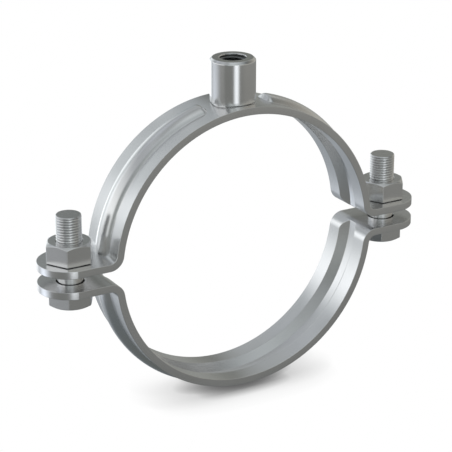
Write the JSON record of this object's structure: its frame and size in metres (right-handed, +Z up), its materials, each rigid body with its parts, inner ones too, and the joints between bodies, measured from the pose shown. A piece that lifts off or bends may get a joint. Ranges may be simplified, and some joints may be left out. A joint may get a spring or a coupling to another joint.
{
  "type": "pipe hanger",
  "caption": "Bolted split-ring pipe hanger of beaded steel strap, with a threaded boss on top that hangs it from a ceiling rod.",
  "frame": {"origin": "centre of the ring: on the pipe's axis, half way along the strap's width and in the middle of the gap between the ears", "axes": "+Y along the pipe, +X towards the right ear as the picture shows it, +Z up along the hanging rod"},
  "size_m": [0.1682, 0.025, 0.1357],
  "materials": {
    "strap": "bright zinc plate, satin",
    "boss": "bright zinc plate over a turned surface",
    "fastener": "bright zinc plate, satin"
  },
  "bodies": {
    "upper_half": {"upper_band": "strap", "threaded_boss": "boss"},
    "lower_half": {"lower_band": "strap", "bolt_left": "fastener", "bolt_right": "fastener"},
    "left_nut": {"nut_left": "fastener"},
    "right_nut": {"nut_right": "fastener"}
  },
  "joints": [
    {"name": "left_nut_turn", "type": "hinge", "parent": "upper_half", "child": "left_nut", "pos_m": [-0.0714, 0, 0.0057], "axis": [0, 0, -1], "range_deg": [-3601, 1909]},
    {"name": "right_nut_turn", "type": "hinge", "parent": "upper_half", "child": "right_nut", "pos_m": [0.0714, 0, 0.0057], "axis": [0, 0, -1], "range_deg": [-3601, 1909]},
    {"name": "lower_half_slide", "type": "slide", "parent": "upper_half", "child": "lower_half", "axis": [0, 0, 1], "range_m": [-0.01, 0.0053]}
  ],
  "couplings": [
    {"joint": "left_nut_turn", "follows": "lower_half_slide", "rad_per_m": 6283.2},
    {"joint": "right_nut_turn", "follows": "lower_half_slide", "rad_per_m": 6283.2}
  ]
}
